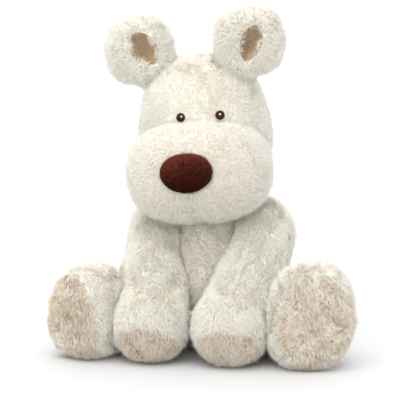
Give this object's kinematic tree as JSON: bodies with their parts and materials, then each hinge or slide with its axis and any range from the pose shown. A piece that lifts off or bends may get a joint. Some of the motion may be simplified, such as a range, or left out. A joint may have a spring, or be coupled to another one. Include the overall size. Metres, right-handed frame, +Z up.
{
  "type": "plush dog",
  "caption": "Seated soft toy dog of cream pile fabric over stuffing, with a broad muzzle, brown nose, round lined ears, beige soles and limbs that swing on sewn seams.",
  "frame": {"origin": "on the floor under the middle of the body", "axes": "+Z up; the dog looks along -Y; +X is the dog's own left"},
  "size_m": [0.2685, 0.198, 0.3018],
  "materials": {
    "cream_plush": "soft short cream-white pile",
    "sole_plush": "longer beige pile",
    "ear_lining": "short beige fleece",
    "nose_plush": "very short dark brown pile",
    "dark_thread": "satin embroidery thread",
    "white_thread": "white embroidery thread",
    "cream_thread": "cream sewing thread",
    "seam_cloth": "woven backing of the plush",
    "stuffing": "white polyester fibre",
    "pouch_cloth": "plain woven cloth",
    "pellets": "loose plastic pellets"
  },
  "bodies": {
    "torso": {"body_front": "cream_plush", "body_back_left": "cream_plush", "body_back_right": "cream_plush", "body_stuffing": "stuffing", "pellet_pouch": "pouch_cloth", "pellets": "pellets", "closing_stitches": "cream_thread"},
    "neck": {"neck_seam": "seam_cloth"},
    "head": {"head_left": "cream_plush", "head_right": "cream_plush", "head_gusset": "cream_plush", "head_stuffing": "stuffing", "muzzle_cover": "cream_plush", "muzzle_stuffing": "stuffing", "nose_cover": "nose_plush", "nose_stuffing": "stuffing", "eye_left": "dark_thread", "eye_right": "dark_thread", "eye_glints": "white_thread", "mouth_stitch": "dark_thread"},
    "ear_left": {"ear_left_cover": "cream_plush", "ear_left_lining": "ear_lining"},
    "ear_right": {"ear_right_cover": "cream_plush", "ear_right_lining": "ear_lining"},
    "arm_left": {"arm_left_cover": "cream_plush", "arm_left_pad": "sole_plush", "arm_left_stuffing": "stuffing"},
    "arm_right": {"arm_right_cover": "cream_plush", "arm_right_pad": "sole_plush", "arm_right_stuffing": "stuffing"},
    "hip_left": {"hip_left_seam": "seam_cloth"},
    "hip_right": {"hip_right_seam": "seam_cloth"},
    "leg_left": {"leg_left_cover": "cream_plush", "leg_left_sole": "sole_plush", "leg_left_stuffing": "stuffing"},
    "leg_right": {"leg_right_cover": "cream_plush", "leg_right_sole": "sole_plush", "leg_right_stuffing": "stuffing"},
    "tail": {"tail_cover": "cream_plush", "tail_stuffing": "stuffing"}
  },
  "joints": [
    {"name": "neck_turn", "type": "hinge", "parent": "torso", "child": "neck", "pos_m": [0, 0.004, 0.127], "axis": [0, 0, 1], "range_deg": [-8, 12]},
    {"name": "head_nod", "type": "hinge", "parent": "neck", "child": "head", "pos_m": [0, 0.004, 0.127], "axis": [0.9963, -0.0348, 0.0785], "range_deg": [-9, 5]},
    {"name": "ear_left_fold", "type": "hinge", "parent": "head", "child": "ear_left", "pos_m": [0.02237, -0.00878, 0.24505], "axis": [0.8698, -0.0304, -0.4924], "range_deg": [-14, 14]},
    {"name": "ear_right_fold", "type": "hinge", "parent": "head", "child": "ear_right", "pos_m": [-0.04445, -0.00645, 0.23979], "axis": [0.7821, -0.0273, 0.6225], "range_deg": [-14, 14]},
    {"name": "arm_left_raise", "type": "hinge", "parent": "torso", "child": "arm_left", "pos_m": [0.0465, 0.004, 0.101], "axis": [-1, 0, 0], "range_deg": [0, 16]},
    {"name": "arm_right_raise", "type": "hinge", "parent": "torso", "child": "arm_right", "pos_m": [-0.0465, 0.004, 0.101], "axis": [-1, 0, 0], "range_deg": [0, 16]},
    {"name": "hip_left_splay", "type": "hinge", "parent": "torso", "child": "hip_left", "pos_m": [0.052, 0.008, 0.033], "axis": [0, 0, 1], "range_deg": [0, 24]},
    {"name": "leg_left_lift", "type": "hinge", "parent": "hip_left", "child": "leg_left", "pos_m": [0.052, 0.008, 0.033], "axis": [-0.8339, -0.5519, 0], "range_deg": [0, 12]},
    {"name": "hip_right_splay", "type": "hinge", "parent": "torso", "child": "hip_right", "pos_m": [-0.052, 0.008, 0.033], "axis": [0, 0, -1], "range_deg": [0, 24]},
    {"name": "leg_right_lift", "type": "hinge", "parent": "hip_right", "child": "leg_right", "pos_m": [-0.052, 0.008, 0.033], "axis": [-0.866, 0.5, 0], "range_deg": [0, 12]},
    {"name": "tail_wag", "type": "hinge", "parent": "torso", "child": "tail", "pos_m": [0, 0.058, 0.04], "axis": [0, 0, 1], "range_deg": [-25, 25]}
  ]
}
